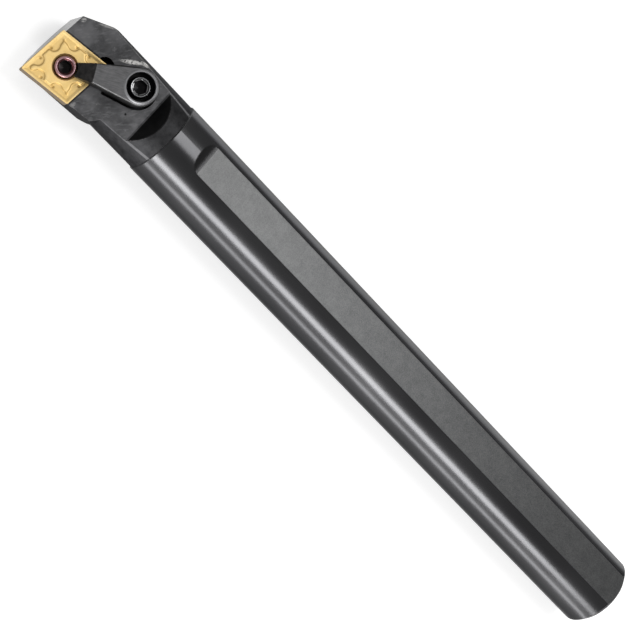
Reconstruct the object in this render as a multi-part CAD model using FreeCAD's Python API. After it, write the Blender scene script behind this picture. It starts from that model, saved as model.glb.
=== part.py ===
import FreeCAD, Part
import math
import os

# Indexable boring bar. Millimetres and degrees.
# X runs along the shank from the tail face to the head, Z points up from the rake side,
# and Y points to the side of the cutting nose. The origin is the centre of the tail face.

Vector = FreeCAD.Vector

# Round shank with a flat above and a flat below
overall_length = 200.0
shank_diameter = 20.0
height_over_flats = 18.2
flat_length = 156.0
flat_runout_radius = 5.0
tail_chamfer = 1.2

# Head, turned a little smaller than the shank
head_length = 34.1
head_diameter = 19.5
shoulder_chamfer = 0.3

# Ear that carries the cutting nose, turned about an axis of its own
ear_axis_offset = 3.2
ear_radius = 9.0
ear_length = 18.1
ear_run_in = 2.6

# Cutting nose and the tilt of the insert seat
nose_reach = 13.0
nose_height = 0.0
axial_rake = 6.0
radial_rake = 15.5
edge_lead = 5.0

# Cutting insert, an 80 degree rhombus
inscribed_circle = 12.7
nose_angle = 80.0
insert_thickness = 4.76
nose_radius = 0.4
insert_bore = 5.16
insert_bore_rim = 0.45

# Chip breaker on both faces of the insert
land_width = 0.3
groove_depth = 0.28
groove_wall_run = 0.35
island_inset = 0.8
island_corner_radius = 0.45
scallop_radius = 1.85
scallop_offset = 2.35
scallop_inset = 0.35
scallop_wall_run = 0.15
dimple_radius = 0.4
dimple_offset = 1.65
dimple_inset = 1.25
dimple_depth = 0.12

# Faces of the head round the insert
top_plane_drop = 0.1
flank_setback = 0.25
seat_clearance = 0.03
seat_relief_radius = 2.2
seat_relief_setback = 1.0
seat_relief_depth = 0.6
rear_wall_setback = 27.9
rear_wall_slope = 41.0
bevel_angle = 24.0
front_corner_reach = 5.4

# Lock pin through the insert
pin_diameter = 4.85
pin_thread_diameter = 6.0
pin_thread_drop = 0.4
pin_stand_out = 0.8
pin_chamfer = 0.4
pin_thread_length = 5.0
pin_socket_across_flats = 2.5
pin_socket_depth = 2.6

# Clamp and its double-ended screw
clamp_back = 14.9
clamp_side = 7.7
clamp_heel_radius = 4.3
clamp_taper = 11.0
clamp_top_height = 5.0
clamp_nose_start = 10.6
clamp_tip_height = 1.3
clamp_foot_end = 6.4
clamp_pad_start = 7.0
clamp_edge_chamfer = 0.3
clamp_pin_gap = 0.25
clamp_boss_radius = 3.9
clamp_boss_height = 0.25
clamp_mouth_radius = 3.35
clamp_mouth_depth = 2.8
recess_depth = 2.6
recess_margin = 0.6
screw_diameter = 5.0
screw_top_drop = 0.5
screw_reach = 8.0
screw_neck_radius = 2.1
screw_neck_length = 1.5
screw_chamfer = 0.4
screw_socket_across_flats = 3.0
screw_socket_depth = 2.6
thread_clearance = 0.05
hole_bottom_gap = 1.0

# Values that follow from the sizes above
cut_reach = 2 * shank_diameter
head_start = overall_length - head_length
shank_radius = shank_diameter / 2
head_radius = head_diameter / 2
flat_height = height_over_flats / 2
half_nose_angle = nose_angle / 2
edge_length = inscribed_circle / math.sin(math.radians(nose_angle))
corner_overhang = nose_radius * (math.sin(math.radians(45)) / math.sin(math.radians(half_nose_angle)) - 1)
top_plane = -top_plane_drop
recess_floor = -recess_depth
seat_floor = -insert_thickness


def direction(angle):
    """Unit vector in the seat plane, at an angle from the head's forward direction."""
    return Vector(math.cos(math.radians(angle)), math.sin(math.radians(angle)), 0)


# In the seat's own frame the nose is the origin, x runs forward along the head,
# y points to the nose side and z stands square to the insert's top face.
side_edge = direction(180 + edge_lead)
front_edge = direction(270 - edge_lead)
insert_centre = (side_edge + front_edge) * (edge_length / 2)
screw_place = insert_centre - Vector(clamp_back, clamp_side, 0)
clamp_angle = math.degrees(math.atan2(clamp_side, clamp_back))
pin_distance = math.hypot(clamp_back, clamp_side)


def seat_placement():
    """Place of the seat's frame in the bar."""
    up = Vector(math.tan(math.radians(axial_rake)), math.tan(math.radians(radial_rake)), 1)
    up.normalize()
    forward = Vector(up.z, 0, -up.x)
    forward.normalize()
    across = up.cross(forward)
    nose = Vector(overall_length + corner_overhang, nose_reach + corner_overhang, nose_height)
    turn = FreeCAD.Matrix(
        forward.x, across.x, up.x, nose.x,
        forward.y, across.y, up.y, nose.y,
        forward.z, across.z, up.z, nose.z,
        0, 0, 0, 1)
    return FreeCAD.Placement(turn)


def placed(shape):
    """The shape, moved from the seat's frame into the bar's frame."""
    moved = shape.copy()
    moved.Placement = seat_placement().multiply(shape.Placement)
    return moved


def cylinder(radius, low, high, centre=Vector(0, 0, 0)):
    return Part.makeCylinder(radius, high - low, Vector(centre.x, centre.y, low), Vector(0, 0, 1))


def cone(low_radius, high_radius, low, high, centre=Vector(0, 0, 0)):
    base = Vector(centre.x, centre.y, low)
    return Part.makeCone(low_radius, high_radius, high - low, base, Vector(0, 0, 1))


def prism(points, low, high):
    """Straight prism on a polygon."""
    corners = [Vector(point.x, point.y, low) for point in points]
    outline = Part.makePolygon(corners + corners[:1])
    return Part.Face(outline).extrude(Vector(0, 0, high - low))


def beyond_line(point, along, side, low=-cut_reach, high=cut_reach):
    """Block on one side of a line in the seat plane; side is the way it extends."""
    corners = [point - along * cut_reach, point + along * cut_reach]
    corners += [corners[1] + side * cut_reach, corners[0] + side * cut_reach]
    return prism(corners, low, high)


def hexagon_socket(across_flats, depth, top, centre):
    corner_radius = across_flats / math.sqrt(3)
    corners = [centre + direction(60 * step) * corner_radius for step in range(6)]
    return prism(corners, top - depth, top + depth)


def rounded_outline(corners, radius, height):
    """Closed wire with an arc at each corner of a convex polygon."""
    edges = []
    count = len(corners)
    arcs = []
    for index, corner in enumerate(corners):
        back = (corners[index - 1] - corner).normalize()
        ahead = (corners[(index + 1) % count] - corner).normalize()
        half = back.getAngle(ahead) / 2
        run = radius / math.tan(half)
        middle_way = (back + ahead).normalize()
        middle = corner + middle_way * (radius / math.sin(half) - radius)
        points = (corner + back * run, middle, corner + ahead * run)
        arcs.append([Vector(point.x, point.y, height) for point in points])
    for index, (start, middle, end) in enumerate(arcs):
        edges.append(Part.Arc(start, middle, end).toShape())
        edges.append(Part.LineSegment(end, arcs[(index + 1) % count][0]).toShape())
    return Part.Wire(edges)


def rhombus_corners(inset):
    """Corners of the insert's outline with every side moved inwards by the inset."""
    share = 1 - 2 * inset / inscribed_circle
    nose = Vector(0, 0, 0)
    outline = [nose, side_edge * edge_length, (side_edge + front_edge) * edge_length, front_edge * edge_length]
    return [insert_centre + (corner - insert_centre) * share for corner in outline]


def rhombus_prism(inset, radius, low, high):
    outline = rounded_outline(rhombus_corners(inset), radius, low)
    return Part.Face(outline).extrude(Vector(0, 0, high - low))


def along_edges(offset, inset):
    """Two places beside the middle of each edge of the insert."""
    corners = rhombus_corners(inset)
    places = []
    for index, corner in enumerate(corners):
        following = corners[(index + 1) % len(corners)]
        middle = (corner + following) * 0.5
        way = (following - corner).normalize()
        places += [middle - way * offset, middle + way * offset]
    return places


def chip_breaker():
    """Groove round the star-shaped island, to be cut from the insert's top face."""
    outer = rounded_outline(rhombus_corners(land_width), 0.6 * nose_radius, 0)
    inner_inset = land_width + groove_wall_run
    inner = rounded_outline(rhombus_corners(inner_inset), 0.3 * nose_radius, -groove_depth)
    groove = Part.makeLoft([inner, outer], True, True)
    island = rhombus_prism(island_inset, island_corner_radius, -groove_depth, 0)
    for place in along_edges(scallop_offset, scallop_inset):
        top_radius = scallop_radius + scallop_wall_run
        island = island.cut(cone(scallop_radius, top_radius, -groove_depth, 0, place))
    dimples = []
    ball_radius = (dimple_radius ** 2 + dimple_depth ** 2) / (2 * dimple_depth)
    for place in along_edges(dimple_offset, dimple_inset):
        centre = place + Vector(0, 0, ball_radius - dimple_depth - groove_depth)
        dimples.append(Part.makeSphere(ball_radius, centre).common(
            cylinder(dimple_radius, -groove_depth - 2 * dimple_depth, -groove_depth, place)))
    return groove.cut(island).multiFuse(dimples)


def cutting_insert():
    """Sintered carbide insert, the same on both faces."""
    body = rhombus_prism(0, nose_radius, seat_floor, 0)
    breaker = chip_breaker()
    middle = Vector(0, 0, seat_floor / 2)
    under = breaker.mirror(middle, Vector(0, 0, 1))
    body = body.cut(breaker).cut(under)
    bore_radius = insert_bore / 2
    rim_radius = bore_radius + insert_bore_rim
    body = body.cut(cylinder(bore_radius, seat_floor - 1, 1, insert_centre))
    body = body.cut(cone(bore_radius, rim_radius, -insert_bore_rim, 0, insert_centre))
    return body.cut(cone(rim_radius, bore_radius, seat_floor, seat_floor + insert_bore_rim, insert_centre))


def shank():
    """Turned bar: chamfered tail, full-round collar before the head, two milled flats."""
    profile = [
        Vector(0, 0, 0),
        Vector(0, 0, shank_radius - tail_chamfer),
        Vector(tail_chamfer, 0, shank_radius),
        Vector(head_start - shoulder_chamfer, 0, shank_radius),
        Vector(head_start, 0, shank_radius - shoulder_chamfer),
        Vector(head_start, 0, 0)]
    outline = Part.Face(Part.makePolygon(profile + profile[:1]))
    body = outline.revolve(Vector(0, 0, 0), Vector(1, 0, 0), 360)
    upper = flat_cutter()
    lower = upper.mirror(Vector(0, 0, 0), Vector(0, 0, 1))
    return body.cut(upper).cut(lower)


def flat_cutter():
    """Space milled away above the upper flat, ending in the curve of the cutter."""
    overshoot = shank_radius - flat_height
    block = Part.makeBox(
        flat_length + overshoot, shank_diameter, flat_runout_radius,
        Vector(-overshoot, -shank_radius, flat_height))
    wheel_centre = Vector(flat_length, -shank_radius, flat_height + flat_runout_radius)
    wheel = Part.makeCylinder(flat_runout_radius, shank_diameter, wheel_centre, Vector(0, 1, 0))
    return block.fuse(wheel)


def head_blank():
    """Turned head with the eccentric ear at its front."""
    along = Vector(1, 0, 0)
    front = head_length + corner_overhang
    body = Part.makeCylinder(head_radius, front, Vector(head_start, 0, 0), along)
    return body.fuse(ear())


def ear():
    """Eccentric ear with a conical run-in, milled flat beside the insert."""
    along = Vector(1, 0, 0)
    start = overall_length - ear_length
    body = Part.makeCylinder(ear_radius, ear_length + corner_overhang, Vector(start, ear_axis_offset, 0), along)
    run_in = Part.makeCone(
        ear_radius - ear_run_in, ear_radius, ear_run_in,
        Vector(start - ear_run_in, ear_axis_offset, 0), along)
    side_face = beyond_line(front_edge * flank_setback, side_edge, front_edge * -1)
    return body.fuse(run_in).cut(placed(side_face))


def top_notch():
    """Space above the head's top plane, closed at the back by the sloping rear wall."""
    slope_run = cut_reach / math.tan(math.radians(rear_wall_slope))
    profile = [
        Vector(cut_reach, -cut_reach, top_plane),
        Vector(-rear_wall_setback, -cut_reach, top_plane),
        Vector(-rear_wall_setback - slope_run, -cut_reach, top_plane + cut_reach),
        Vector(cut_reach, -cut_reach, top_plane + cut_reach)]
    outline = Part.Face(Part.makePolygon(profile + profile[:1]))
    return outline.extrude(Vector(0, 2 * cut_reach, 0))


def front_space():
    """Space ahead of the front face, which stands upright below the insert's front edge."""
    seat = seat_placement()
    foot = seat.multVec(side_edge * flank_setback + Vector(0, 0, seat_floor))
    way = seat.Rotation.multVec(front_edge)
    way = Vector(way.x, way.y, 0).normalize()
    ahead = Vector(-way.y, way.x, 0)
    corners = [foot - way * cut_reach, foot + way * cut_reach]
    corners += [corners[1] + ahead * cut_reach, corners[0] + ahead * cut_reach]
    return prism(corners, -cut_reach, cut_reach)


def back_bevel():
    """Space beside the bevel at the head's back corner."""
    return beyond_line(back_corner(), direction(180 + bevel_angle), direction(270 + bevel_angle))


def back_corner():
    """Front corner of the top plane on the side away from the nose."""
    centre_height = seat_placement().inverse().multVec(Vector(overall_length, 0, 0))
    across = centre_height.y - front_corner_reach
    return front_edge * (-across / math.cos(math.radians(edge_lead))) + side_edge * flank_setback


def insert_seat():
    """Pocket with two walls, a relief bore in its corner and the hole for the lock pin."""
    corner = (side_edge + front_edge) * (edge_length + seat_clearance)
    reach = edge_length + cut_reach / 4
    outline = [
        corner,
        corner - front_edge * reach,
        corner - (front_edge + side_edge) * reach,
        corner - side_edge * reach]
    pocket = prism(outline, seat_floor, cut_reach)
    inward = (insert_centre - corner).normalize()
    relief_centre = corner + inward * seat_relief_setback
    relief = cylinder(seat_relief_radius, seat_floor - seat_relief_depth, cut_reach, relief_centre)
    pin_hole = cylinder(pin_thread_diameter / 2 + thread_clearance, -cut_reach, cut_reach, insert_centre)
    return [pocket, relief, pin_hole]


def clamp_outline(margin, low, high, length):
    """Plan of the clamp: a round heel that tapers to the nose, from low to high."""
    radius = clamp_heel_radius + margin
    side = math.radians(clamp_taper)
    half_tip = radius / math.cos(side) - length * math.tan(side)
    touch = Vector(radius * math.sin(side), radius * math.cos(side), 0)
    corners = [
        Vector(touch.x, -touch.y, 0),
        Vector(length, -half_tip, 0),
        Vector(length, half_tip, 0),
        touch]
    return prism(corners, low, high).fuse(cylinder(radius, low, high)).removeSplitter()


def on_screw(shape):
    """The shape, moved from the clamp's own place to the screw, pointing at the pin."""
    turned = shape.copy()
    turned.rotate(Vector(0, 0, 0), Vector(0, 0, 1), clamp_angle)
    turned.translate(screw_place)
    return turned


def clamp_recess():
    """Recess for the clamp's foot, open to the insert seat, and the tapped hole below it."""
    recess = on_screw(clamp_outline(recess_margin, recess_floor, cut_reach, clamp_pad_start + recess_margin))
    hole_radius = screw_diameter / 2 + thread_clearance
    hole_bottom = recess_floor - screw_reach - hole_bottom_gap
    hole = cylinder(hole_radius, hole_bottom, cut_reach, screw_place)
    drill_point = cone(0, hole_radius, hole_bottom - hole_radius / 2, hole_bottom, screw_place)
    return [recess, hole, drill_point]


def bar():
    """Shank and head, made from one piece of steel."""
    head = head_blank()
    head = head.cut(front_space())
    cuts = [top_notch(), back_bevel()] + insert_seat() + clamp_recess()
    for cut in cuts:
        head = head.cut(placed(cut))
    return shank().fuse(head).removeSplitter()


def lock_pin():
    """Pin with a thread below the seat and a hexagon socket above the insert."""
    radius = pin_diameter / 2
    top = pin_stand_out
    thread_top = seat_floor - pin_thread_drop
    body = cylinder(radius, thread_top, top - pin_chamfer, insert_centre)
    body = body.fuse(cone(radius, radius - pin_chamfer, top - pin_chamfer, top, insert_centre))
    thread_end = thread_top - pin_thread_length
    body = body.fuse(cylinder(pin_thread_diameter / 2, thread_end, thread_top, insert_centre))
    return body.cut(hexagon_socket(pin_socket_across_flats, pin_socket_depth, top, insert_centre))


def clamp():
    """Forged finger clamp: foot in the recess, pad on the insert, nose sloping to the pin."""
    length = pin_distance
    plan = clamp_outline(0, recess_floor, clamp_top_height, length)
    tip = pin_distance - pin_diameter / 2
    profile = [
        Vector(-cut_reach, -cut_reach, recess_floor),
        Vector(clamp_foot_end, -cut_reach, recess_floor),
        Vector(clamp_pad_start, -cut_reach, 0),
        Vector(tip + 1, -cut_reach, 0),
        Vector(tip + 1, -cut_reach, clamp_tip_height),
        Vector(tip, -cut_reach, clamp_tip_height),
        Vector(clamp_nose_start, -cut_reach, clamp_top_height),
        Vector(-cut_reach, -cut_reach, clamp_top_height)]
    side_view = Part.Face(Part.makePolygon(profile + profile[:1])).extrude(Vector(0, 2 * cut_reach, 0))
    body = plan.common(side_view)
    pin_room = cylinder(pin_diameter / 2 + clamp_pin_gap, -cut_reach, cut_reach, Vector(pin_distance, 0, 0))
    body = body.cut(pin_room)
    beyond = Part.makeBox(cut_reach, 2 * cut_reach, 2 * cut_reach, Vector(pin_distance, -cut_reach, -cut_reach))
    body = body.cut(beyond)
    top_edges = [edge for edge in body.Edges if edge.BoundBox.ZMin > clamp_top_height - 0.01
                 and edge.BoundBox.XMin < clamp_nose_start - 0.01]
    body = body.makeChamfer(clamp_edge_chamfer, top_edges)
    boss_top = clamp_top_height + clamp_boss_height
    body = body.fuse(cone(clamp_boss_radius, clamp_boss_radius - clamp_boss_height, clamp_top_height, boss_top))
    hole = cylinder(screw_diameter / 2 + thread_clearance, -cut_reach, cut_reach)
    mouth = cylinder(clamp_mouth_radius, clamp_top_height - clamp_mouth_depth, cut_reach)
    return on_screw(body.cut(hole).cut(mouth))


def clamp_screw():
    """Double-ended screw: one thread in the bar, the opposite thread in the clamp."""
    radius = screw_diameter / 2
    top = clamp_top_height - screw_top_drop
    end = recess_floor - screw_reach
    neck_top = recess_floor + screw_neck_length
    body = cylinder(radius, neck_top, top - screw_chamfer)
    body = body.fuse(cone(radius, radius - screw_chamfer, top - screw_chamfer, top))
    body = body.fuse(cylinder(screw_neck_radius, recess_floor, neck_top))
    body = body.fuse(cylinder(radius, end + screw_chamfer, recess_floor))
    body = body.fuse(cone(radius - screw_chamfer, radius, end, end + screw_chamfer))
    body = body.cut(hexagon_socket(screw_socket_across_flats, screw_socket_depth, top, Vector(0, 0, 0)))
    body.translate(screw_place)
    return body


def export(name, shape):
    """Write one closed solid to its own file."""
    solid = shape.Solids[0]
    whole = len(shape.Solids) == 1 and solid.isValid()
    print(name, "one valid solid" if whole else "NOT ONE VALID SOLID", round(solid.Volume, 1))
    solid.exportStep("parts/" + name + ".step")


os.makedirs("parts", exist_ok=True)
export("bar", bar())
export("cutting_insert", placed(cutting_insert()))
export("lock_pin", placed(lock_pin()))
export("clamp", placed(clamp()))
export("clamp_screw", placed(clamp_screw()))
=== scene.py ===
import bpy
import bmesh
import math
from mathutils import Matrix, Vector


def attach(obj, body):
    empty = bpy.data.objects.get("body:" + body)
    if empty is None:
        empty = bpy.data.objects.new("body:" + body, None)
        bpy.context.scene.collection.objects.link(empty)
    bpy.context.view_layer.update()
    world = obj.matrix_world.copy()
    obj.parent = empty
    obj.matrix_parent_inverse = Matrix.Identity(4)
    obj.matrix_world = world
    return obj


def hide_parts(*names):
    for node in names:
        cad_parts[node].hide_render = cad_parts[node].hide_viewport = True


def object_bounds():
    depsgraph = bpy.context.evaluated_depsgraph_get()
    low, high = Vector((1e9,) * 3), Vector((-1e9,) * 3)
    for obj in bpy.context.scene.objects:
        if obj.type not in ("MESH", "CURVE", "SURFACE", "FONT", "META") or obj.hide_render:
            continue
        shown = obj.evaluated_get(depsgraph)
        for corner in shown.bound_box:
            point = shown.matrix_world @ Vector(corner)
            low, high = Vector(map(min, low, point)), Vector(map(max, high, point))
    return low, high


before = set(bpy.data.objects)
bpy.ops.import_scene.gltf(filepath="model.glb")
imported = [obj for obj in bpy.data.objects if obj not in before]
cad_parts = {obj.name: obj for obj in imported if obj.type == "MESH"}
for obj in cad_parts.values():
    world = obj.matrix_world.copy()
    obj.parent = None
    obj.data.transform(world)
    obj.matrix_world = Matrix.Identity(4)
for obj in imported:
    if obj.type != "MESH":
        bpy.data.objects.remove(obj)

cad_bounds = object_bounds()


# Bar: one piece of steel. The shank is ground round between its two milled flats and blackened
# to a gloss, and the milled head keeps the dull, mottled skin of hardening, with bare metal
# where it was knocked and rubbed.
mm = 0.001
flat_level = 9.1
flat_end = 156.0
run_out_radius = 5.0
end_mill_radius = 8.0
head_start = 165.9
head_radius = 9.75
inscribed_circle = 12.7

# Seat of the insert: its nose corner, in millimetres, and the directions of its sides
seat_nose = Vector((200.0408, 13.0408, 0.0))
seat_forward = Vector((0.9945219, 0.0, -0.1045285))
seat_across = Vector((-0.0277918, 0.9640066, -0.2644217))
seat_up = Vector((0.1007661, 0.2658782, 0.9587257))


class Shade:
    """A socket inside a material. A sum on it adds the Math or Vector Math node that works it out."""

    def __init__(self, tree, socket):
        self.tree = tree
        self.socket = socket

    def node(self, kind, settings=None, sockets=None, output=0):
        """Output of a new node, given its kind, its settings and the values or shades of its sockets."""
        made = self.tree.nodes.new(kind)
        for name, value in (settings or {}).items():
            if name == "stops":
                for element, (position, colour) in zip(made.color_ramp.elements, value):
                    element.position = position
                    element.color = (*colour, 1)
            else:
                setattr(made, name, value)
        for name, value in (sockets or {}).items():
            if isinstance(value, Shade):
                self.tree.links.new(value.socket, made.inputs[name])
            else:
                made.inputs[name].default_value = value
        return Shade(self.tree, made.outputs[output])

    def sum(self, operation, first, second):
        kind = "ShaderNodeVectorMath" if self.socket.type == "VECTOR" else "ShaderNodeMath"
        return self.node(kind, {"operation": operation}, {0: first, 1: second})

    def __add__(self, other):
        return self.sum("ADD", self, other)

    __radd__ = __add__

    def __sub__(self, other):
        return self.sum("SUBTRACT", self, other)

    def __rsub__(self, other):
        return self.sum("SUBTRACT", other, self)

    def __mul__(self, other):
        return self.sum("MULTIPLY", self, other)

    __rmul__ = __mul__

    def __abs__(self):
        return self.node("ShaderNodeMath", {"operation": "ABSOLUTE"}, {0: self})

    def root(self):
        return self.node("ShaderNodeMath", {"operation": "SQRT"}, {0: self})

    def larger(self, other):
        return self.sum("MAXIMUM", self, other)

    def smaller(self, other):
        return self.sum("MINIMUM", self, other)

    def along(self, way):
        """Length of this vector along a direction."""
        return self.node("ShaderNodeVectorMath", {"operation": "DOT_PRODUCT"}, {0: self, 1: way}, "Value")

    def length(self):
        return self.node("ShaderNodeVectorMath", {"operation": "LENGTH"}, {0: self}, "Value")

    def beside(self, other):
        """Vector with this value and the other as its first two parts."""
        return self.node("ShaderNodeCombineXYZ", {}, {0: self, 1: other})

    def parts(self):
        return [self.node("ShaderNodeSeparateXYZ", {}, {0: self}, index) for index in range(3)]

    def rises(self, low, high):
        """0 below low, 1 above high and a smooth step between them."""
        return self.node("ShaderNodeMapRange", {"interpolation_type": "SMOOTHSTEP"},
                         {"Value": self, "From Min": low, "From Max": high})

    def between(self, low, high):
        """This value from 0 to 1, spread from low to high."""
        return self.node("ShaderNodeMapRange", {}, {"Value": self, "To Min": low, "To Max": high})

    def ramp(self, low, low_colour, high, high_colour):
        """Colour that changes as this value goes from low to high."""
        stops = [(low, low_colour), (high, high_colour)]
        return self.node("ShaderNodeValToRGB", {"stops": stops}, {0: self})

    def mixed(self, factor, other):
        """This colour, giving way to the other as the factor rises."""
        if not isinstance(other, Shade):
            other = (*other, 1)
        return self.node("ShaderNodeMix", {"data_type": "RGBA"}, {0: factor, 6: self, 7: other}, 2)

    def grain(self, size, detail=3.0, stretch=(1, 1, 1)):
        """Noise on this place, with grains of about a size in millimetres, drawn out by a stretch."""
        squeezed = self * tuple(1 / (size * step) for step in stretch)
        return self.node("ShaderNodeTexNoise", {}, {"Vector": squeezed, "Scale": 1.0, "Detail": detail})

    def turned_to(self, forward, across, up, origin):
        """This place in another frame."""
        offset = self - origin
        ways = enumerate((forward, across, up))
        return self.node("ShaderNodeCombineXYZ", {}, {index: offset.along(way) for index, way in ways})


def finish_for(name):
    """A new material: itself, its Principled shader and the place on the object in millimetres."""
    material = bpy.data.materials.new(name)
    material.use_nodes = True
    tree = material.node_tree
    shader = next(node for node in tree.nodes if node.type == "BSDF_PRINCIPLED")
    place = Shade(tree, tree.nodes.new("ShaderNodeTexCoord").outputs["Object"])
    return material, shader, place * (1000, 1000, 1000)


def feed(shader, **links):
    """Connect shades to a Principled shader's sockets, named with underscores."""
    for name, shade in links.items():
        shade.tree.links.new(shade.socket, shader.inputs[name.replace("_", " ")])


def facing(place, way):
    """How far the surface faces a direction."""
    return place.node("ShaderNodeNewGeometry", output="Normal").along(way)


def edges_of(place, radius):
    """1 on the edges of the solid, out to a radius in millimetres."""
    rounded = place.node("ShaderNodeBevel", {"samples": 6}, {"Radius": radius * mm})
    return (1 - facing(place, rounded)).rises(0.02, 0.20)


def relief(height, strength, depth):
    """Normal of a surface raised by a height from 0 to 1, with its depth in millimetres."""
    sockets = {"Strength": strength, "Distance": depth * mm, "Height": height}
    return height.node("ShaderNodeBump", {}, sockets)


def across_seat(angle):
    """Direction in the seat's plane, at an angle from its forward side."""
    turn = math.radians(angle)
    return seat_forward * math.cos(turn) + seat_across * math.sin(turn)


def rub(place, middle, way, half_length, half_width, raggedness):
    """A worn patch about a middle, drawn out along a direction, with a ragged rim."""
    way = Vector(way).normalized()
    side = seat_up.cross(way).normalized()
    reach = place.turned_to(way / half_length, side / half_width, seat_up / 1.2, middle).length()
    return 1 - (reach + raggedness.between(-0.7, 0.7)).rises(0.65, 1.0)


def blackened_steel():
    material, shader, place = finish_for("blackened_steel")
    x, y, z = place.parts()
    above = abs(z)
    level = (place - seat_nose).along(seat_up)
    on_head = x.rises(head_start - 0.3, head_start + 0.05)

    # Where the flats and the curves that end them were milled, and the walls of the head
    cut = above.rises(flat_level - 0.08, flat_level - 0.02)
    over_flat = above.rises(flat_level + 0.02, flat_level + 0.06)
    on_flat = cut * (1 - over_flat) * (1 - x.rises(flat_end, flat_end + 0.2))
    from_cutter = (x - flat_end).beside(above - (flat_level + run_out_radius)).length()
    in_cutter = 1 - from_cutter.rises(run_out_radius + 0.03, run_out_radius + 0.08)
    on_curve = x.rises(flat_end - 0.1, flat_end + 0.1) * in_cutter * cut
    machined = on_flat.larger(on_curve)
    on_top = level.rises(-0.35, -0.2) * (1 - level.rises(0.15, 0.3)) * on_head
    in_head = 1 - y.beside(z).length().rises(head_radius - 0.3, head_radius - 0.15)
    on_rear_wall = level.rises(0.15, 0.3) * in_head * on_head
    on_front = facing(place, (1, 0, 0)).rises(0.70, 0.85) * x.rises(186, 187)

    # Grinding lines round the shank, a smear of oil along it, and the grain of the other faces
    lines = place.grain(0.10, 2.0, (1, 30, 30))
    smear = place.grain(9.0, 4.0, (3, 1, 1))
    speckle = place.grain(0.22, 2.0)
    mottle = place.grain(1.6, 5.0)
    cloud = place.grain(5.0, 3.0)
    rag = place.grain(0.45, 4.0)

    # Arcs left by the end mill on the flats, and streaks of the face mill on the head
    bow = (end_mill_radius ** 2 - y * y).root()
    arcs = (x + bow).beside(y * 0.05).grain(0.55)
    flat_grain = speckle * 0.6 + place.grain(2.0, 5.0) * 0.25 + arcs * (x.rises(90, 150) * 0.16 + 0.06)
    mill_frame = place.turned_to((0.55, 0.835, 0), (-0.835, 0.55, 0), (0, 0, 1), seat_nose)
    streaks = mill_frame.grain(0.55, 3.0, (7, 1, 1))

    # Colours: glossy shank, satin flats, and the head, whose rear wall is darkened as painted shade
    skin_grain = mottle * 0.7 + speckle * 0.3
    ground = smear.ramp(0.35, (0.050, 0.050, 0.052), 0.70, (0.066, 0.066, 0.068))
    satin = flat_grain.ramp(0.34, (0.062, 0.063, 0.064), 0.62, (0.104, 0.105, 0.105))
    skin = skin_grain.ramp(0.30, (0.018, 0.018, 0.019), 0.72, (0.050, 0.050, 0.052))
    milled_skin = skin_grain.ramp(0.30, (0.042, 0.042, 0.044), 0.72, (0.098, 0.098, 0.102))
    head = skin.mixed(on_top, milled_skin)
    head = head.mixed(cloud.rises(0.42, 0.64) * on_top * 0.6, (0.150, 0.149, 0.155))
    head = head.mixed(streaks.rises(0.50, 0.72) * on_top * 0.35, (0.200, 0.200, 0.206))
    # Painted shade: the rear wall of the head is darkened almost to black
    head = head.mixed(on_rear_wall * 0.8, (0.012, 0.012, 0.012))

    # Painted shade: a dark line where the insert meets the walls of its seat, for the shadow in the gap
    beyond_side, beyond_back = ((place - seat_nose).along(across_seat(angle)) for angle in (175, 275))
    gap = beyond_side.larger(beyond_back) - inscribed_circle
    seat_gap_shade = gap.rises(-0.4, -0.1) * (1 - gap.rises(0.22, 0.55)) * on_top
    head = head.mixed(seat_gap_shade * 0.9, (0.006, 0.006, 0.006))

    # Bare metal: front corner, burr and rub beside the clamp, back edge, and beside the insert
    knocks = 0
    for middle, way, half_length, half_width, strength in (
            ((197.6, -3.95, 4.87), (0.3, 1, 0), 0.75, 0.55, 0.45),
            ((183.5, -4.7, 6.5), (0.80, 0.60, 0), 3.1, 0.60, 1.0),
            ((181.2, -6.2, 7.2), (1, 0.2, 0), 1.4, 0.5, 0.9),
            ((193.0, -6.5, 6.0), (0.88, 0.46, 0), 2.3, 0.30, 0.35),
            ((186.3, 11.3, 1.8), (0.1, 1, 0), 1.1, 0.6, 0.25)):
        knocks = (rub(place, middle, way, half_length, half_width, rag) * strength).larger(knocks)
    edges = edges_of(place, 0.2)
    rubbed_edges = edges * level.rises(-0.4, -0.2) * on_head * rag.rises(0.40, 0.66) * 0.24
    shank_edges = edges * (1 - on_head) * rag.rises(0.45, 0.7) * 0.25
    chips = place.grain(0.4, 1.0).rises(0.76, 0.80) * on_top * 0.22
    bare = (knocks * rag.rises(0.30, 0.58)).larger(rubbed_edges).larger(shank_edges).larger(chips)
    pit = 1 - (place - (176.53, 4.68, 4.68)).length().rises(0.18, 0.32)

    colour = ground.mixed(on_flat, satin).mixed(on_curve * 0.6, (0.02, 0.02, 0.02)).mixed(on_head, head)
    colour = colour.mixed(bare, (0.66, 0.65, 0.63)).mixed(pit, (0.008, 0.008, 0.008))

    # Gloss: the front faces are ground smooth, and oil makes them glassy
    shank_gloss = smear.between(0.20, 0.27) * (1 - machined)
    flat_gloss = (speckle.between(0.30, 0.42) - on_curve * 0.12) * machined
    roughness = (shank_gloss + flat_gloss) * (1 - on_head) + mottle.between(0.46, 0.66) * on_head
    roughness = roughness * (1 - bare) + bare * 0.34
    roughness = roughness - on_front * (roughness - 0.20)
    metal = (1 - on_head * on_top * 0.6 - on_front).smaller(1 - bare * 0.6)

    height = lines * 0.06 * (1 - on_head) * (1 - machined) + flat_grain * 0.7 * machined
    height = height + (mottle * 0.8 + speckle * 0.5 + streaks * 0.4 * on_top) * on_head
    height = height + bare * rag * 1.2 - pit * 2.0
    feed(shader, Base_Color=colour, Roughness=roughness, Metallic=metal, Normal=relief(height, 0.55, 0.05))
    shader.inputs["Specular Tint"].default_value = (0.45, 0.45, 0.45, 1)
    return material


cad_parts["bar"].material_slots[0].material = blackened_steel()


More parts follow.
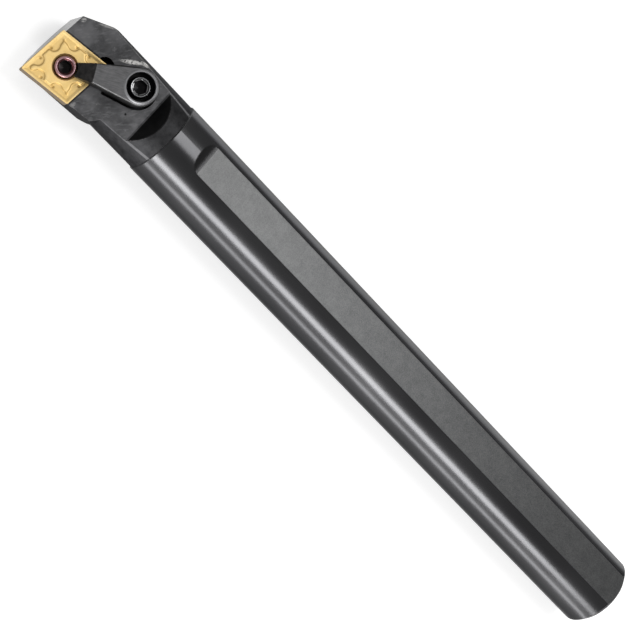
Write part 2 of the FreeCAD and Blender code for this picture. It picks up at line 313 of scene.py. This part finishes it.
# Cutting insert: an 80 degree rhombus of sintered carbide with a gold-coloured coating. The
# chip breaker is pressed into both faces: a narrow land, a groove inside it and a star-shaped
# island with a finger to each corner, two scallops and two dimples along each edge.
insert_edge = inscribed_circle / math.sin(math.radians(80))
insert_thickness = 4.76
insert_corner = 0.4
bore_radius = 2.58
bore_rim = 3.03
groove_depth = 0.24
dimple_depth = 0.14
edge_drop = 0.02

# The two circles of the scallop next to a corner: distance from the corner along the edge,
# distance in from the edge, and radius
sharp_corner_scallops = ((4.15, 1.10, 1.35), (2.75, 0.35, 0.95))
wide_corner_scallops = ((3.90, 1.15, 1.35), (2.40, 0.95, 1.05))


def seat_way(angle):
    """Direction in the seat's own frame."""
    return Vector((math.cos(math.radians(angle)), math.sin(math.radians(angle)), 0))


side_way = seat_way(185)
front_way = seat_way(265)
insert_corners = [way * insert_edge for way in (Vector(), side_way, side_way + front_way, front_way)]
insert_middle = insert_corners[2] / 2


def in_bar(point):
    """A point of the seat's plane, in the bar's frame."""
    return seat_nose + seat_forward * point.x + seat_across * point.y


def insert_outline():
    """Points round the insert, with an arc at each corner."""
    points = []
    for index, corner in enumerate(insert_corners):
        following = insert_corners[(index + 1) % 4]
        back = (insert_corners[index - 1] - corner).normalized()
        ahead = (following - corner).normalized()
        half = back.angle(ahead) / 2
        middle = corner + (back + ahead).normalized() * (insert_corner / math.sin(half))
        start = corner + back * (insert_corner / math.tan(half))
        end = corner + ahead * (insert_corner / math.tan(half))
        for step in range(9):
            spoke = (start - middle).lerp(end - middle, step / 8)
            points.append(middle + spoke.normalized() * insert_corner)
        next_half = math.pi / 2 - half
        far = following - ahead * (insert_corner / math.tan(next_half))
        points += [end.lerp(far, step / 72) for step in range(1, 72)]
    return points


def step_up(value, low, high):
    """0 below low, 1 above high and a smooth step between them."""
    share = min(max((value - low) / (high - low), 0), 1)
    return share * share * (3 - 2 * share)


def blend(first, second, width):
    """Smaller of two values, rounded where they cross."""
    share = max(width - abs(first - second), 0) / width
    return min(first, second) - share * share * width / 4


def chip_breaker_height(point):
    """Height of the pressed face over the insert's cutting edge, at a point of the seat's plane."""
    nearest = 100.0
    island = 100.0
    dimples = 0.0
    for index, corner in enumerate(insert_corners):
        following = insert_corners[(index + 1) % 4]
        way = (following - corner).normalized()
        inward = Vector((-way.y, way.x, 0))
        nearest = min(nearest, (point - corner).dot(inward))
        ends = [(corner, way, sharp_corner_scallops), (following, -way, wide_corner_scallops)]
        if index % 2:
            ends = [(corner, way, wide_corner_scallops), (following, -way, sharp_corner_scallops)]
        for end, toward, scallops in ends:
            for reach, inset, radius in scallops:
                scallop = end + toward * reach + inward * inset
                island = blend(island, (point - scallop).length - radius, 0.55)
            dimple = (corner + following) / 2 - toward * 1.65 + inward * 1.20
            dimples = max(dimples, 1 - step_up((point - dimple).length, 0.05, 0.52))
        island = blend(island, (point - corner).length - 2.15, 0.3)
    island = blend(island, nearest - 1.05, 0.3)
    land = 1 - step_up(nearest, 0.22, 1.0)
    raised = step_up(island, -0.25, 0.38)
    sunk = groove_depth * (1 - max(land, raised)) + dimple_depth * dimples * (1 - land)
    return -sunk - edge_drop * (1 - step_up(nearest, 0.0, 0.05))


def skinned(name, loops, ring_closed):
    """Mesh over loops that run from the inside of the top outwards and down. A ring closes on itself."""
    work = bmesh.new()
    made = [[work.verts.new(point) for point in loop] for loop in loops]
    pairs = list(zip(made, made[1:]))
    if ring_closed:
        pairs.append((made[-1], made[0]))
    else:
        work.faces.new(made[0])
        work.faces.new(list(reversed(made[-1])))
    for inner, outer in pairs:
        for index in range(len(inner)):
            following = (index + 1) % len(inner)
            work.faces.new((inner[index], outer[index], outer[following], inner[following]))
    mesh = bpy.data.meshes.new(name)
    work.to_mesh(mesh)
    work.free()
    mesh.shade_smooth()
    mesh.set_sharp_from_angle(angle=math.radians(32))
    return mesh


def set_in_seat(name, mesh, middle):
    """Object whose mesh is moved from the seat's frame, in millimetres, to its place in the bar."""
    turn = Matrix((seat_forward, seat_across, seat_up)).transposed().to_4x4()
    mesh.transform(Matrix.Diagonal((mm, mm, mm, 1)) @ Matrix.Translation(in_bar(middle)) @ turn)
    piece = bpy.data.objects.new(name, mesh)
    bpy.context.collection.objects.link(piece)
    return piece


def insert_mesh():
    outline = [point - insert_middle for point in insert_outline()]
    upper = []
    for step in range(60, -1, -1):
        loop = []
        for point in outline:
            place = point.lerp(point.normalized() * bore_rim, step / 60)
            loop.append(place + Vector((0, 0, chip_breaker_height(place + insert_middle))))
        upper.append(loop)
    bevel = bore_rim - bore_radius
    upper.insert(0, [point.normalized() * bore_radius - Vector((0, 0, bevel)) for point in outline])
    lower = [[Vector((point.x, point.y, -insert_thickness - point.z)) for point in loop]
             for loop in reversed(upper)]
    return skinned("coated_insert", upper + lower, True)


def gold_coating():
    material, shader, place = finish_for("gold_coating")
    level = (place - seat_nose).along(seat_up)
    depth = insert_thickness / 2 - abs(level + insert_thickness / 2)
    from_middle = place - in_bar(insert_middle)
    side_reach, front_reach = (abs(from_middle.along(across_seat(angle))) for angle in (275, 355))
    edge_reach = side_reach.larger(front_reach)
    land = edge_reach.rises(5.98, 6.08) * (1 - depth.rises(0.05, 0.12))
    walls = depth.rises(0.04, 0.11) * (1 - depth.rises(0.16, 0.22)) * (1 - edge_reach.rises(5.2, 5.5))
    dimples = depth.rises(0.25, 0.33)
    flank = (1 - abs(facing(place, seat_up)).rises(0.15, 0.45)) * edge_reach.rises(5.0, 5.5)
    grains = place.grain(0.14)
    cloud = place.grain(2.2)
    face = (cloud * 0.6 + grains * 0.4).ramp(0.35, (0.86, 0.60, 0.22), 0.68, (0.96, 0.72, 0.33))
    # Painted shade: the groove's walls, the dimples and the deeper parts of the chip breaker are darkened
    colour = face.mixed(walls.larger(dimples) * 0.7, (0.42, 0.24, 0.05))
    colour = colour.mixed(depth.rises(0.1, 0.28) * 0.25, (0.60, 0.36, 0.09))
    colour = colour.mixed(land * 0.2, (0.93, 0.72, 0.40))
    colour = colour.mixed(flank * 0.95, (0.115, 0.072, 0.027))
    wear = edges_of(place, 0.12) * place.grain(0.5).rises(0.5, 0.7)
    colour = colour.mixed(wear * 0.35, (0.55, 0.45, 0.33))
    feed(shader, Base_Color=colour, Roughness=grains.between(0.42, 0.58),
         Normal=relief(grains * 0.6 + cloud * 0.4, 0.35, 0.02))
    shader.inputs["Metallic"].default_value = 0.7
    return material


coated_insert = set_in_seat("coated_insert", insert_mesh(), insert_middle)
coated_insert.data.materials.append(gold_coating())
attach(coated_insert, "bar")
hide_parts("cutting_insert")


# Lock pin: a hardened steel pin that screws into the seat and holds the insert by its bore. It
# is tempered to a reddish brown, with a rounded rim and a hexagon socket for the key.
pin_thread = {"crest": 2.97, "root": 2.52, "pitch": 0.75, "hand": 1}


def ring(radius, height):
    """Loop of points round an axis. The radius can also be a function of the angle."""
    loop = []
    for step in range(96):
        angle = 2 * math.pi * step / 96
        reach = radius(angle) if callable(radius) else radius
        loop.append(Vector((reach * math.cos(angle), reach * math.sin(angle), height)))
    return loop


def turned(*profile):
    """Loops of a lathe-turned profile, given as radius and height."""
    return [ring(radius, height) for radius, height in profile]


def hexagon(across_flats):
    """Radius of a hexagon at each angle."""
    sector = math.pi / 3
    return lambda angle: across_flats / 2 / math.cos(angle % sector - sector / 2)


def threaded(top, bottom, crest, root, pitch, hand):
    """Loops down a thread, thinner over the first and last half millimetre."""
    loops = []
    count = int((top - bottom) / 0.07)
    for step in range(count + 1):
        height = top + (bottom - top) * step / count
        lead = min(1, (top - height) / 0.5, (height - bottom) / 0.5)
        tooth = (crest - root) * max(0.05, lead)

        def radius(angle):
            turn = (height / pitch - hand * angle / (2 * math.pi)) % 1
            return root + tooth * min(1, 2.6 * abs(turn - 0.5))

        loops.append(ring(radius, height))
    return loops


def pin_mesh():
    key = hexagon(2.5)
    loops = turned((0.02, -2.2), (1.15, -1.8), (key, -1.8), (key, 0.18))
    loops += turned((1.50, 0.24), (1.78, 0.58), (1.86, 0.70), (1.96, 0.77), (2.08, 0.80), (2.22, 0.77),
                    (2.34, 0.67), (2.42, 0.54), (2.45, 0.38), (2.45, -5.16))
    loops += threaded(-5.18, -9.8, **pin_thread)
    return skinned("lock_pin_turned", loops + turned((2.4, -10.16)), False)


def tempered_steel():
    material, shader, place = finish_for("tempered_steel")
    local = place.turned_to(seat_forward, seat_across, seat_up, in_bar(insert_middle))
    forward, across, level = local.parts()
    radius = forward.beside(across).length()
    fine = place.grain(0.12, 2.0)
    steel = place.grain(0.9).ramp(0.35, (0.16, 0.055, 0.058), 0.70, (0.30, 0.12, 0.125))
    rim = radius.rises(1.74, 1.94) * level.rises(0.30, 0.55)
    socket = (1 - radius.rises(1.44, 1.60)) * (1 - level.rises(0.25, 0.4))
    # Painted highlight on the rounded rim, and painted shade in the hexagon socket
    colour = steel.mixed(rim * 0.7, (0.50, 0.32, 0.34)).mixed(socket, (0.012, 0.010, 0.010))
    # Painted shade on the part of the pin below the insert's top, down in its bore
    colour = colour.mixed((1 - level.rises(-0.25, 0.2)) * (1 - socket) * 0.8, (0.05, 0.022, 0.02))
    feed(shader, Base_Color=colour, Roughness=fine.between(0.22, 0.38), Normal=relief(fine, 0.3, 0.015))
    shader.inputs["Metallic"].default_value = 0.9
    return material


lock_pin = set_in_seat("lock_pin_turned", pin_mesh(), insert_middle)
lock_pin.data.materials.append(tempered_steel())
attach(lock_pin, "bar")
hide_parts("lock_pin")


# Clamp: a forged steel finger. Its heel goes round the screw with a raised ring, its foot stands
# in the recess and its nose slopes down to the pin. The top is ground along its length, and the
# sides keep the black of hardening.
screw_to_pin = Vector((14.9, 7.7, 0))
screw_middle = insert_middle - screw_to_pin
clamp_way = (seat_forward * screw_to_pin.x + seat_across * screw_to_pin.y).normalized()
clamp_side = seat_up.cross(clamp_way)


def ground_clamp_steel():
    material, shader, place = finish_for("ground_clamp_steel")
    local = place.turned_to(clamp_way, clamp_side, seat_up, in_bar(screw_middle))
    along, across, level = local.parts()
    radius = along.beside(across).length()
    on_top = level.rises(4.84, 4.95)
    scratches = local.grain(0.09, 3.0, (26, 1, 6))
    mottle = place.grain(1.1, 4.0)
    fine = place.grain(0.2, 2.0)
    black = mottle.ramp(0.35, (0.018, 0.018, 0.018), 0.70, (0.042, 0.041, 0.041))
    ground = (scratches * 0.7 + mottle * 0.3).ramp(0.30, (0.085, 0.085, 0.087), 0.72, (0.190, 0.189, 0.193))
    boss = level.rises(4.9, 5.02) * radius.rises(3.38, 3.48) * (1 - radius.rises(3.82, 3.95))
    mouth = (1 - radius.rises(3.28, 3.36)) * (1 - level.rises(4.9, 5.1))
    worn = edges_of(place, 0.15) * level.rises(4.4, 4.7) * mottle.rises(0.40, 0.66)
    # Painted highlight: the top of the raised ring round the screw is lightened
    colour = black.mixed(on_top, ground).mixed(boss * 0.6, (0.30, 0.30, 0.31))
    # Painted shade: the wall of the hole round the screw is darkened almost to black
    colour = colour.mixed(worn * 0.15, (0.46, 0.46, 0.46)).mixed(mouth * 0.8, (0.010, 0.010, 0.010))
    gloss = scratches.between(0.30, 0.46) * on_top + mottle.between(0.38, 0.6) * (1 - on_top)
    height = scratches * 0.8 * on_top + (mottle + fine * 0.4) * (1 - on_top)
    feed(shader, Base_Color=colour, Roughness=gloss, Normal=relief(height, 0.5, 0.03))
    shader.inputs["Metallic"].default_value = 1.0
    return material


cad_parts["clamp"].material_slots[0].material = ground_clamp_steel()


# Clamp screw: a double-ended socket screw with a right-hand thread in the bar and a left-hand
# thread in the clamp, so that one turn lifts the clamp by two pitches. Oiled black oxide, worn
# bright on the rim of its socket, where the lighter colour is also a painted highlight.
screw_thread = {"crest": 2.47, "root": 2.08, "pitch": 0.8}
screw_waist = 2.08


def screw_mesh():
    key = hexagon(3.0)
    loops = turned((0.02, 1.75), (1.3, 2.0), (key, 2.0), (key, 4.12))
    loops += turned((1.78, 4.18), (1.90, 4.36), (1.96, 4.46), (2.06, 4.50), (2.18, 4.49), (2.30, 4.40),
                    (2.38, 4.25), (2.42, 4.05), (2.44, 3.75))
    loops += threaded(3.7, -1.1, hand=-1, **screw_thread)
    loops += turned((screw_waist, -1.15), (screw_waist, -2.55))
    loops += threaded(-2.6, -10.2, hand=1, **screw_thread)
    return skinned("clamp_screw_threaded", loops + turned((2.05, -10.58)), False)


def oiled_screw_steel():
    material, shader, place = finish_for("oiled_screw_steel")
    local = place.turned_to(seat_forward, seat_across, seat_up, in_bar(screw_middle))
    forward, across, level = local.parts()
    radius = forward.beside(across).length()
    mottle = place.grain(0.7)
    fine = place.grain(0.1, 2.0)
    black = mottle.ramp(0.35, (0.020, 0.020, 0.021), 0.70, (0.040, 0.040, 0.041))
    rim = radius.rises(1.70, 1.84) * (1 - radius.rises(2.30, 2.42)) * level.rises(4.1, 4.25)
    key_mark = radius.rises(1.50, 1.62) * (1 - radius.rises(1.78, 1.9)) * level.rises(3.9, 4.05)
    socket = (1 - radius.rises(1.66, 1.76)) * (1 - level.rises(4.05, 4.15))
    # The rim round the socket is lightened for wear and as a painted highlight
    colour = black.mixed(rim * mottle.between(0.5, 1.0), (0.36, 0.36, 0.37))
    # Painted shade: the hexagon socket itself is darkened almost to black
    colour = colour.mixed(key_mark * 0.5, (0.34, 0.34, 0.34)).mixed(socket * 0.8, (0.008, 0.008, 0.008))
    feed(shader, Base_Color=colour, Roughness=fine.between(0.16, 0.30), Normal=relief(fine, 0.25, 0.012))
    shader.inputs["Metallic"].default_value = 1.0
    return material


clamp_screw = set_in_seat("clamp_screw_threaded", screw_mesh(), screw_middle)
clamp_screw.data.materials.append(oiled_screw_steel())
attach(clamp_screw, "clamp_screw")
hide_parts("clamp_screw")


# Table: a sheet of white paper under the bar, which is white itself where the camera and the
# polished steel see it, and carries the bar's soft shadow.
paper_level = cad_bounds[0][2] - 0.05 * mm
paper_reach = 12


def seen_directly(place):
    """1 for what the camera, a reflection or clear glass sees."""
    camera_ray, glossy_ray, clear_ray = (
        place.node("ShaderNodeLightPath", output=name)
        for name in ("Is Camera Ray", "Is Glossy Ray", "Is Transmission Ray"))
    return camera_ray.larger(glossy_ray).larger(clear_ray)


paper_mesh = bpy.data.meshes.new("paper")
paper_mesh.from_pydata(
    [(x * paper_reach, y * paper_reach, paper_level) for x, y in ((-1, -1), (1, -1), (1, 1), (-1, 1))],
    [], [(0, 1, 2, 3)])
paper = bpy.data.objects.new("paper", paper_mesh)
bpy.context.collection.objects.link(paper)
white_paper, paper_shader, paper_place = finish_for("white_paper")
paper_shader.inputs["Base Color"].default_value = (0.62, 0.62, 0.62, 1)
paper_shader.inputs["Roughness"].default_value = 0.9
paper_shader.inputs["Specular IOR Level"].default_value = 0.0
feed(paper_shader, Emission_Color=seen_directly(paper_place) * 0.62)
paper_shader.inputs["Emission Strength"].default_value = 1.0
paper_mesh.materials.append(white_paper)


# Studio: pale walls, a softbox over the shank, and a long low strip on the nose side with a slim
# one on the table before it, which draw the two bright lines down the shank. A dim panel lies on
# the table on the far side.
def softbox(name, place, target, width, height, energy):
    data = bpy.data.lights.new(name, "AREA")
    data.shape = "RECTANGLE"
    data.size = width
    data.size_y = height
    data.energy = energy
    lamp = bpy.data.objects.new(name, data)
    toward = (Vector(target) - Vector(place)).normalized()
    side = Vector((1, 0, 0))
    side = (side - toward * side.dot(toward)).normalized()
    turn = Matrix((side, (-toward).cross(side), -toward)).transposed().to_4x4()
    lamp.matrix_world = Matrix.Translation(place) @ turn
    bpy.context.collection.objects.link(lamp)


table_lamp_level = paper_level + 2 * mm
softbox("overhead_softbox", (-0.055, -0.16, 0.70), (-0.055, 0, 0), 0.30, 0.42, 2.2)
softbox("side_strip", (-0.05, 0.44, 0.118), (-0.05, 0, 0), 0.42, 0.12, 2.1)
softbox("table_strip", (0.075, 0.047, table_lamp_level), (0.075, 0.047, 1), 0.20, 0.024, 0.10)
softbox("table_panel", (0.075, -0.09, table_lamp_level), (0.075, -0.09, 1), 0.24, 0.12, 0.27)

world = bpy.data.worlds.new("studio")
bpy.context.scene.world = world
world.use_nodes = True
wall = world.node_tree.nodes["Background"]
wall.inputs["Color"].default_value = (1, 1, 1, 1)
wall.inputs["Strength"].default_value = 0.45


# Camera, at the photograph's viewing angle: about 40 cm above the head, on the nose side. Its
# place is in millimetres, and its focal length is that of a picture 640 pixels wide.
camera_place = Vector((252.2, 180.0, 378.0))
look = Vector((-0.32807, -0.40051, -0.85555))
right = look.cross(Vector((0.68109, -0.72787, 0.07957))).normalized()
focal_pixels = 1838.7
picture_pixels = 640
camera_data = bpy.data.cameras.new("camera")
camera_data.sensor_width = 36
camera_data.lens = camera_data.sensor_width * focal_pixels / picture_pixels
camera_data.clip_start = 10 * mm
camera_data.clip_end = 50
camera = bpy.data.objects.new("camera", camera_data)
bpy.context.collection.objects.link(camera)
camera_turn = Matrix((right, right.cross(look).normalized(), -look)).transposed().to_4x4()
camera.matrix_world = Matrix.Translation(camera_place * mm) @ camera_turn
bpy.context.scene.camera = camera
bpy.context.scene.view_settings.view_transform = "Standard"
